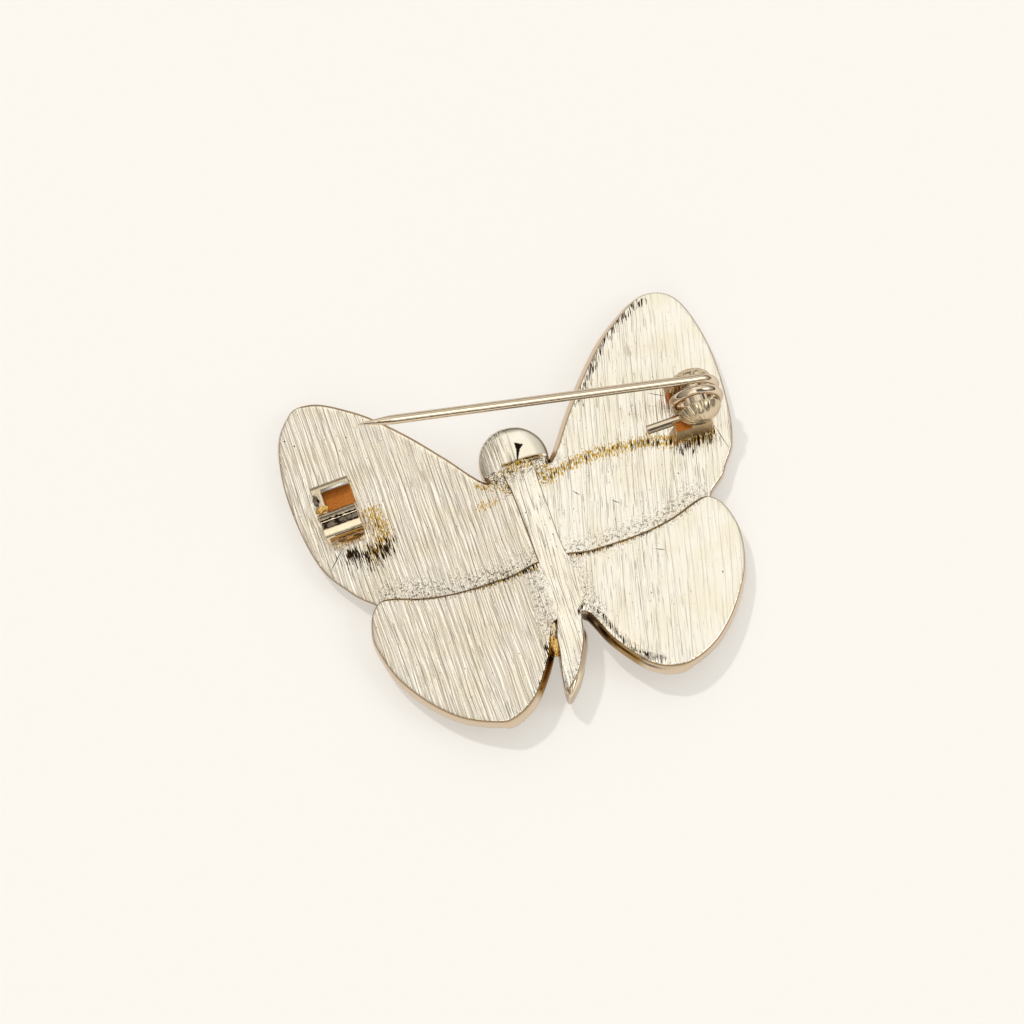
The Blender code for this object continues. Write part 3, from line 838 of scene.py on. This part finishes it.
def catch_strip_line():
    """Side view of the strip: leaning lip, floor and rolled hook, as (y, z) from the middle of the floor."""
    mid = CATCH_STRIP / 2
    wall = CATCH_FLOOR_WIDTH / 2 - mid
    corner = CATCH_STRIP
    line = [Vector((wall + 0.02, 1.3)), Vector((wall + 0.01, 1.1)), Vector((wall, mid + corner))]
    for step in range(1, 9):
        turn = math.pi / 2 * step / 8
        line.append(Vector((wall - corner * (1 - math.cos(turn)), mid + corner * (1 - math.sin(turn)))))
    hook = Vector((-CATCH_FLOOR_WIDTH / 2 - mid, mid + HOOK_RADIUS))
    for step in range(65):
        turn = -math.pi / 2 - HOOK_CURL * step / 64
        line.append(hook + HOOK_RADIUS * Vector((math.cos(turn), math.sin(turn))))
    return line, hook


def rolled_patch(hook, low, high, ragged, radius, ends, seat):
    """A strip of the hook's outside between two angles from straight up, with its long edges this ragged."""
    shape = bmesh.new()
    rings = []
    for k in range(41):
        x = ends[0] + (ends[1] - ends[0]) * k / 40
        first = low + ragged * noise.noise(Vector((x * 3.1, low, 0)))
        last = high + ragged * noise.noise(Vector((x * 2.3, high, 5)))
        ring = []
        for step in range(9):
            around = math.radians(first + (last - first) * step / 8)
            point = hook + radius * Vector((-math.sin(around), math.cos(around)))
            ring.append(shape.verts.new(seat @ Vector((x, *point))))
        rings.append(ring)
    bridge(shape, rings, closed=False)
    return shape


# The hook's outside is folded in this far to each side of straight up, by this share of the strip.
FOLD_ANGLE = 17
FOLD_DEPTH = 1.3

# Bands on the hook's outside: their angles from straight up, how ragged they are, how far they lie off the
# roll, where they start from the catch's left end, and their metal.
# The fold's brown-black patch and its near-black edges, the slit and the brown band under the roll are
# painted shade.
HOOK_BANDS = (
    ("catch_fold", -FOLD_ANGLE, FOLD_ANGLE, 0, -0.19, 0.08, "tarnish_and_shade_gold"),
    ("catch_first_band", -60, -36, 1, 0.008, 0.02, "worn_gold_strip"),
    ("catch_fold_top", -20, -12, 7, 0.01, 0.05, "shade_black_gold"),
    ("catch_fold_edge", 13, FOLD_ANGLE, 5, 0.01, 0.05, "shade_black_gold"),
    ("catch_slit", 54, 58, 1, 0.012, 0.9, "shade_black_gold"),
    ("catch_line", 58, 61, 1, 0.012, 0.9, "soldered_gold"),
    ("catch_shade", 61, 98, 3, 0.012, 0.3, "shade_brown_gold"),
)

# The bead on the catch's lip and the glint along it, as (y, z) from the middle of the floor.
LIP_BEAD = (
    (1.62, 0.3), (1.13, 1.35), (1.2, 1.5), (1.4, 1.62), (1.7, CATCH_LIP_HEIGHT), (1.9, 1.6),
    (2.02, 1.45), (2.06, 1.15), (2.04, 0.3),
)
LIP_GLINT = ((1.2, 1.45), (1.24, 1.66), (1.5, 1.72), (1.5, 1.5))
FLOOR_OUTLINE = ((-0.95, 0.3), (1.6, 0.3), (1.6, 0.56), (-0.95, 0.56))


def make_catch():
    seat = on_wing(*CATCH_PLACE)
    half = CATCH_LENGTH / 2
    mid = CATCH_STRIP / 2
    wall = CATCH_FLOOR_WIDTH / 2 - mid
    front = -CATCH_FLOOR_WIDTH / 2 - CATCH_STRIP
    line, hook = catch_strip_line()
    left, right = [], []
    for i, point in enumerate(line):
        ahead = (line[min(i + 1, len(line) - 1)] - line[max(i - 1, 0)]).normalized()
        aside = Vector((-ahead.y, ahead.x)) * mid
        from_hook = point - hook
        around = math.degrees(math.atan2(-from_hook.x, from_hook.y))
        fold = max(0.0, 1 - abs(around) / FOLD_ANGLE) if i > ROLL_START else 0.0
        left.append(point + aside * (1 - FOLD_DEPTH * min(fold * 2.5, 1.0)))
        right.append(point - aside)
    outline = [(p.x, p.y) for p in left + right[::-1]]
    bar("catch_strip", "rolled_gold_strip", outline, (-half, half), seat, 0.07, sharp=35)

    for name, low, high, ragged, off, start, metal in HOOK_BANDS:
        ends = (start - half, half - 0.05)
        patch = rolled_patch(hook, low, high, ragged, HOOK_RADIUS + mid + off, ends, seat)
        place(object_from(name, patch), metal)

    bar("catch_lip", "worn_gold_strip", LIP_BEAD, (-half, half), seat, 0.05, sharp=50)
    # The glint along the lip is a painted highlight.
    bar("catch_lip_glint", "highlight_lip_gold", LIP_GLINT, (0.9 - half, half - 0.2), seat)
    rim = [(front + 0.9, -0.3), (wall + 0.1, -0.3), (wall + 0.35, 1.35), (wall - 0.1, 1.6)]
    rim.append((front + 1.2, 1.3))
    bar("catch_end_wall", "rolled_gold_strip", rim, (0.03 - half, 0.95 - half), seat, 0.4, 6)
    # The catch's floor is deep orange: painted light bounced between its walls, in shade.
    bar("catch_floor", "interreflection_orange_gold", FLOOR_OUTLINE, (0.9 - half, half - 0.02), seat, sharp=35)
    sunk = [(front - 1.0, -0.3), (wall, -0.3), (wall, mid), (front - 0.5, mid)]
    bar("catch_pad", "rolled_gold_strip", sunk, (0.3 - half, half - 0.3), seat, 0.08)

    for name, size, spot, ragged, seed, metal in (
        # The foot's brown is painted shade under the roll.
        ("catch_foot", (1.4, 0.62, 0.6), (0.35, front - 0.8, 0.1), 0.05, 3, "shade_brown_gold"),
        ("catch_solder", (0.6, 0.45, 0.25), (-half + 0.45, -0.3, 1.25), 0.12, 5, "soldered_gold"),
        ("catch_dirt", (0.3, 0.5, 0.3), (-half + 0.2, 0.62, 1.45), 0.12, 8, "tarnish_and_shade_gold"),
    ):
        place(lump(name, size, seat @ Matrix.Translation(spot), ragged, seed), metal)


def lump(name, size, seat, ragged, seed):
    """A cast or soldered lump: a ball of these half sizes with an uneven skin."""
    shape = bmesh.new()
    bmesh.ops.create_icosphere(shape, subdivisions=5, radius=1.0)
    for vert in shape.verts:
        swell = noise.noise(vert.co * 1.7 + Vector((seed, 0, 0)))
        swell += 0.5 * noise.noise(vert.co * 4 + Vector((0, seed, 0)))
        vert.co *= 1 + swell * ragged / max(size)
        vert.co = seat @ Vector([c * s for c, s in zip(vert.co, size)])
    return object_from(name, shape)


# Hinge.

EAR_INNER = 1.34
EAR_RIBS = 17
RIB_HEIGHT = 0.13
HINGE_FRAME = Matrix.Translation(HINGE_CENTRE) @ Matrix.Rotation(-HINGE_LEAN, 4, "X")


def make_ear(name, sign, inner_metal):
    """One ear: a dome with ribs that run out from its pole and fade to its right, flat towards the coil."""
    sides = EAR_RIBS * 16
    crown = EAR_HALF_LENGTH - EAR_INNER
    shape = bmesh.new()
    rings = []
    for k in range(-3, 26):
        turn = math.pi / 2 * max(k, 0) / 26
        along = EAR_INNER + crown * math.sin(turn) + 0.02 * min(k, 0)
        shell = math.cos(turn) * (1 + 0.012 * min(k, 0))
        ring = []
        for step in range(sides):
            around = math.tau * step / sides
            fading = 1 - 0.75 * min(max(math.cos(around) / 0.6, 0.0), 1.0)
            ridge = (0.5 + 0.5 * math.cos(EAR_RIBS * around)) ** 2
            rib = RIB_HEIGHT * ridge * fading * min(1.0, 2.5 * math.cos(turn))
            radius = (EAR_RADIUS - 0.02 + rib) * shell
            spot = Vector((radius * math.cos(around), sign * along, radius * math.sin(around)))
            ring.append(shape.verts.new(HINGE_FRAME @ spot))
        rings.append(ring)
    bridge(shape, rings)
    shape.faces.new(list(reversed(rings[-1])))
    shape.faces.new(rings[0]).material_index = 1
    ear = object_from(name, shape)
    place(ear, "cast_ear_gold", inner_metal)
    ear.data.set_sharp_from_angle(angle=math.radians(60))


def make_hinge():
    make_ear("near_ear", -1, "cast_foot_gold")
    # The far ear's inner face is deep orange: painted light bounced between the gold faces under the coil.
    make_ear("far_ear", 1, "interreflection_orange_gold")
    seat = on_wing(*HINGE_PLACE)
    left, right = FOOT_ASIDE - FOOT_WIDTH / 2, FOOT_ASIDE + FOOT_WIDTH / 2
    half, inner, top, sunk = FOOT_LENGTH / 2, SLOT_WIDTH / 2, FOOT_HEIGHT, -0.6
    near_foot = [(-half - 0.15, sunk), (-inner, sunk), (-inner, top), (-half + 0.7, top)]
    near_foot.append((-half - 0.15, 0.15))
    far_foot = [(inner, sunk), (half, sunk), (half, top), (inner, top)]
    base = [(-inner, sunk), (inner, sunk), (inner, 0.04), (-inner, 0.04)]
    near_solder = [(-2.5, 1.5), (-1.6, 1.5), (-1.6, 1.74), (-2.5, 1.74)]
    far_solder = [(0.85, 0.0), (1.0, 0.55), (1.45, 1.5), (1.9, 1.74), (1.9, 0.0)]
    bar("near_foot", "cast_foot_gold", near_foot, (left, right), seat, 0.14)
    bar("far_foot", "cast_foot_gold", far_foot, (left + 0.6, right), seat, 0.14)
    bar("hinge_base", "cast_ear_gold", base, (left + 0.6, right), seat, 0.14)
    # The deep orange of these blocks is painted light bounced between the gold faces under the coil.
    bar("near_solder", "interreflection_orange_gold", near_solder, (-2.88, -1.3), seat, 0.1)
    bar("far_solder", "interreflection_orange_gold", far_solder, (-2.35, -0.6), seat, 0.12)


# Pin.

STEM_STEPS = 90
COIL_STEPS = 120
TAIL_STEPS = 20
COIL_TURNS = 1.5 - PIN_RISE / math.tau
STEM_BEND = 0.06


def coil_point(turns):
    angle = math.pi / 2 - PIN_RISE - math.tau * turns
    across, up = COIL_RADIUS * math.cos(angle), COIL_RADIUS * math.sin(angle)
    return Vector((across, COIL_PITCH * (COIL_START - turns), up))


def pin_path():
    """The wire's middle line and its radii: the stem from its point, its spring and the tail on the wing."""
    path, radii = [], []
    root = coil_point(0.0)
    ahead = Vector((-math.cos(PIN_RISE), 0.0, math.sin(PIN_RISE)))
    run = math.sqrt(PIN_REACH**2 - COIL_RADIUS**2)
    drift = run * math.tan(PIN_SIDEWAYS)
    for k in range(STEM_STEPS):
        share = 1 - k / STEM_STEPS
        aside = max(share - STEM_BEND / 2, 0.0) / (1 - STEM_BEND / 2) * drift
        path.append(root + ahead * run * share + Vector((0, aside, 0)))
        from_point = (1 - share) * run
        radii.append(max(WIRE_RADIUS * min(1.0, (from_point / POINT_LENGTH) ** 0.75), 0.05))
    path += [coil_point(COIL_TURNS * k / COIL_STEPS) for k in range(COIL_STEPS + 1)]
    clear = HINGE_HEIGHT - COIL_RADIUS - WIRE_RADIUS - TAIL_GAP
    away = Vector((-1.0, -math.tan(TAIL_SIDEWAYS), SLOPE - clear / TAIL_LENGTH)).normalized()
    end = coil_point(COIL_TURNS)
    path += [end + away * TAIL_LENGTH * k / TAIL_STEPS for k in range(1, TAIL_STEPS + 1)]
    return path, radii + [WIRE_RADIUS] * (len(path) - len(radii))


def make_pin():
    """The wire in one piece. The tail's lower side, in the shade beside the foot, is dark."""
    path, radii = pin_path()
    sides = 28
    shape = bmesh.new()
    rings = []
    across = (path[1] - path[0]).normalized().orthogonal().normalized()
    for i, (point, radius) in enumerate(zip(path, radii)):
        along = (path[min(i + 1, len(path) - 1)] - path[max(i - 1, 0)]).normalized()
        across = (across - along * across.dot(along)).normalized()
        other = along.cross(across)
        ring = []
        for k in range(sides):
            turn = math.tau * k / sides
            away = math.cos(turn) * across + math.sin(turn) * other
            ring.append(shape.verts.new(HINGE_FRAME @ (point + radius * away)))
        rings.append(ring)
    for r, (first, second) in enumerate(zip(rings, rings[1:])):
        for i in range(sides):
            face = shape.faces.new((first[i - 1], first[i], second[i], second[i - 1]))
            away = (first[i - 1].co + first[i].co) / 2 - HINGE_FRAME @ path[r]
            below = away.y < -0.3 * WIRE_RADIUS and away.z < 0.7 * WIRE_RADIUS
            face.material_index = int(below and r > STEM_STEPS + COIL_STEPS)
    close_ends(shape, rings)
    wire = object_from("sprung_pin", shape)
    wire.data.set_sharp_from_angle(angle=math.radians(50))
    wire.visible_glossy = False
    metals = ("drawn_gold_wire", "shade_black_gold")
    place(wire, *metals, body=None, stands_for=("pin_wire", "spring_tail"), slot="wire_metal")
    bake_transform(wire)


# Wear.

# Scratches and pits on the backs: from where to where, how wide, and how wide their bright lip is, a painted
# highlight.
SCRATCHES = (
    ((-18.04, 4.87), (-19.81, 3.16), 0.09, 0.16), ((19.29, 5.2), (19.86, 2.75), 0.07, 0.0),
    ((14.18, 10.12), (15.63, 9.38), 0.06, 0.0), ((4.25, 2.79), (4.76, 2.23), 0.08, 0.08),
    ((7.5, 0.9), (8.13, 0.41), 0.07, 0.08), ((9.81, -4.95), (10.68, -5.32), 0.07, 0.08),
    ((-19.98, 16.7), (-19.86, 16.82), 0.16, 0.08), ((-19.25, 15.9), (-19.13, 16.04), 0.16, 0.08),
    ((-14.38, 15.0), (-14.26, 15.1), 0.14, 0.0), ((15.17, -9.0), (15.29, -8.86), 0.14, 0.0),
    ((14.36, 1.6), (14.48, 1.72), 0.13, 0.0),
)
# Corners of a scratch's sliver: how far along it, and how far to its side as a share of its half width.
SLIVER = ((0.0, 0.25), (0.5, 1.0), (1.0, 0.25), (1.0, -0.25), (0.5, -1.0), (0.0, -0.25))
SLIVER_LIFT = 0.012


def make_scratches():
    """Deep scratches and pits on the wings, each a sliver on the back face; some have a bright lip,
    a painted highlight.
    """
    dark, bright = bmesh.new(), bmesh.new()
    for start, end, width, lip in SCRATCHES:
        start, end = Vector(start), Vector(end)
        aside = Vector((start.y - end.y, end.x - start.x)).normalized()
        lift = SLIVER_LIFT + (HINDWING_STEP if start.y < -3 else 0.0)
        for shape, wide, away in ((dark, width, 0.0), (bright, lip, (width + lip) / 2)):
            if not wide:
                continue
            corners = []
            for along, share in SLIVER:
                x, y = start.lerp(end, along) + aside * (away + wide / 2 * share)
                corners.append(shape.verts.new((x, y, lift - SLOPE * (abs(x) - BAR_HALF_WIDTH))))
            shape.faces.new(corners)
    place(object_from("scratches", dark), "shade_black_gold")
    place(object_from("scratch_lips", bright), "highlight_lip_gold")


# Studio.

# The light tent from its left side to its right, by the direction along X: how bright and how warm.
PANELS = (
    (-1.00, 0.30, 1.0), (-0.60, 0.45, 1.0), (-0.45, 0.62, 1.0), (-0.30, 0.72, 1.0), (-0.17, 0.75, 1.0),
    (-0.10, 0.95, 0.6), (-0.04, 1.28, 0.1), (0.05, 1.18, 0.1), (0.12, 1.07, 0.1), (0.40, 1.08, 0.1),
    (0.50, 0.92, 0.2), (0.60, 0.78, 0.3), (0.80, 0.66, 0.4), (1.00, 0.45, 0.5),
)

# Panels on the tent's front: how much each changes the light, and where it starts and is full along X and
# along -X. The first is a dark gap that shows in the polished metal, the second a brighter panel.
FRONT_PANELS = ((-0.88, (-0.04, 0.02), (-0.55, -0.45)), (0.75, (-0.5, -0.4), (0.02, 0.06)))
LAMP_TOWARDS = (0.69, -0.26, 0.68)
SUN_TOWARDS = Vector((-0.81, 1.72, 3.2))
TABLE_HALF_WIDTH = 1.5


def make_table():
    shape = bmesh.new()
    bmesh.ops.create_grid(shape, x_segments=1, y_segments=1, size=TABLE_HALF_WIDTH)
    table = object_from("table", shape)
    paper = bpy.data.materials.new("cream_paper")
    paper.use_nodes = True
    shader = paper.node_tree.nodes["Principled BSDF"]
    glow = {"Emission Color": linear("#FBF8F1"), "Emission Strength": 0.42}
    feed(paper.node_tree, shader, {"Base Color": linear("#C4C1BE"), "Roughness": 0.9, **glow})
    shader.inputs["Specular IOR Level"].default_value = 0.0
    table.data.materials.append(paper)


def make_light_tent():
    """White cloth all round, dimmer near the table and at its far end, with a soft lamp behind it."""
    world = bpy.data.worlds.new("light_tent")
    bpy.context.scene.world = world
    world.use_nodes = True
    tree = world.node_tree
    towards = node(tree, "ShaderNodeTexCoord")["Generated"]
    parts = node(tree, "ShaderNodeSeparateXYZ", {"Vector": towards})
    x, y = parts["X"], parts["Y"]
    panels = tree.nodes.new("ShaderNodeValToRGB")
    feed(tree, panels, {"Fac": ranged(tree, x, -1.0, 1.0)})
    ramp = panels.color_ramp
    while len(ramp.elements) < len(PANELS):
        ramp.elements.new(0.5)
    for element, (towards_x, level, warmth) in zip(ramp.elements, PANELS):
        element.position = (towards_x + 1) / 2
        green, blue = level * (1.02 - 0.065 * warmth), level * (0.98 - 0.11 * warmth)
        element.color = (level, green, blue, 1.0)

    below_top = between(tree, y, -0.94, -0.88)
    front = times(tree, between(tree, times(tree, y, -1.0), 0.02, 0.12), below_top)
    changes = []
    for change, from_left, from_right in FRONT_PANELS:
        beside = between(tree, x, *from_left), between(tree, times(tree, x, -1.0), *from_right)
        changes.append((times(tree, times(tree, *beside), front), change))
    changes += [(between(tree, y, 0.8, 0.93), -0.6), (1.0, 1.0)]
    level = ranged(tree, between(tree, parts["Z"], 0.08, 0.35), 0.0, 1.0, 0.14, 1.0)
    level = times(tree, level, total(tree, *changes))
    towards_lamp = {0: towards, 1: LAMP_TOWARDS}
    lamp_at = node(tree, "ShaderNodeVectorMath", towards_lamp, operation="DOT_PRODUCT")["Value"]
    glow = times(tree, between(tree, lamp_at, 0.955, 0.98), 1.5)
    light = vector(tree, "ADD", vector(tree, "MULTIPLY", panels.outputs["Color"], level), glow)
    feed(tree, tree.nodes["Background"], {"Color": light, "Strength": 1.0})


def make_key_light():
    lamp = bpy.data.lights.new("key", "SUN")
    lamp.energy = 1.0
    lamp.angle = math.radians(3)
    sun = in_scene("key", lamp)
    sun.rotation_euler = SUN_TOWARDS.to_track_quat("Z", "Y").to_euler()
    sun.visible_glossy = False


CAMERA_RIGHT = Vector((0.9478, -0.3189, 0.0))
CAMERA_UP = Vector((0.3066, 0.9111, 0.2756))
CAMERA_BACK = Vector((-0.0879, -0.2612, 0.9613))
CAMERA_DISTANCE = 0.8
PICTURE_WIDTH = 0.0966
SENSOR_WIDTH = 36.0
# Where the middle of the picture lies from the bar's top at its middle, to the right and up, in millimetres.
PICTURE_RIGHT = -2.617
PICTURE_UP = 1.698
BAR_LEVEL = 0.204


def make_camera():
    """Seen from above the tail, turned 18.6 degrees."""
    data = bpy.data.cameras.new("camera")
    camera = in_scene("camera", data)
    data.sensor_width = SENSOR_WIDTH
    data.lens = SENSOR_WIDTH * CAMERA_DISTANCE / PICTURE_WIDTH
    aim = Vector((0.0, 0.0, BAR_LEVEL)) + CAMERA_RIGHT * PICTURE_RIGHT + CAMERA_UP * PICTURE_UP
    stand = Matrix.Translation(ORIGIN + aim * MM + CAMERA_BACK * CAMERA_DISTANCE)
    turned = Matrix((CAMERA_RIGHT, CAMERA_UP, CAMERA_BACK)).transposed().to_4x4()
    camera.matrix_world = stand @ turned
    data.clip_start, data.clip_end = 0.01, 10.0
    bpy.context.scene.camera = camera


# The whole.

# The wheel's direction on each part, in degrees from the body's length.
BRUSHED = (("left", 0.0), ("right", 13.8), ("middle", 3.0))

# Plated metals with a polish: name, colour and roughness.
POLISHED = (
    # Walls and front of the casting, tumbled: a clear, pale mirror.
    ("polished_gold_plate", "#F1E2C8", 0.12),
    # The catch's strip, rolled: a mirror drawn out along the roll.
    ("rolled_gold_strip", "#E6D5BA", 0.14),
    # The pin's wire, drawn: long clear highlights.
    ("drawn_gold_wire", "#E2CFB6", 0.12),
    # Solder that flowed out and was plated: a soft yellow sheen.
    ("soldered_gold", "#E9BE72", 0.25),
    # Near white, a painted highlight: the glint along the catch's lip and the bright lips of scratches.
    ("highlight_lip_gold", "#FFFBF2", 0.5),
    # A dull brown sheen, painted shade: under the catch's roll and on its foot.
    ("shade_brown_gold", "#A37A45", 0.22),
    # The hinge's foot, as cast: a blurred, yellowish sheen.
    ("cast_foot_gold", "#E8CFA6", 0.4),
    # Nearly black: painted shade on the tail's underside and along the catch's slit and fold, and the
    # scratches and pits on the wings.
    ("shade_black_gold", "#2A2016", 0.3),
    # Strip worn by the pin: greyer and softer than the rest.
    ("worn_gold_strip", "#CDBEA4", 0.3),
    # Ears and web, cast and tumbled: a soft mirror.
    ("cast_ear_gold", "#DCCAAC", 0.2),
)


def build():
    for part, lean in BRUSHED:
        name = f"brushed_gold_plate_{part}"
        METALS[name] = brushed_gold(name, math.radians(lean))
    for name, code, roughness in POLISHED:
        METALS[name] = polished_gold(name, code, roughness)
    METALS["interreflection_orange_gold"] = interreflection_orange("interreflection_orange_gold")
    METALS["tarnish_and_shade_gold"] = tarnish_and_shade_gold("tarnish_and_shade_gold")

    make_wings()
    make_body_back()
    make_body_front()
    make_head()
    make_catch()
    make_hinge()
    make_pin()
    make_scratches()
    for name, size, spot, metal in (
        ("web", (0.62, 1.45, 0.6), (-2.2, -10.6, -0.5), "soldered_gold"),
        ("web_top", (0.62, 1.3, 0.5), (-1.95, -9.1, -0.12), "cast_ear_gold"),
    ):
        place(lump(name, size, Matrix.Translation(spot), 0.3, 9), metal)
    rivet = frame["nodes"]["hinge_rivet"]
    rivet.data.materials.clear()
    rivet.data.materials.append(METALS["drawn_gold_wire"])

    bpy.context.scene.view_settings.view_transform = "Standard"
    make_table()
    make_light_tent()
    make_key_light()
    make_camera()


build()
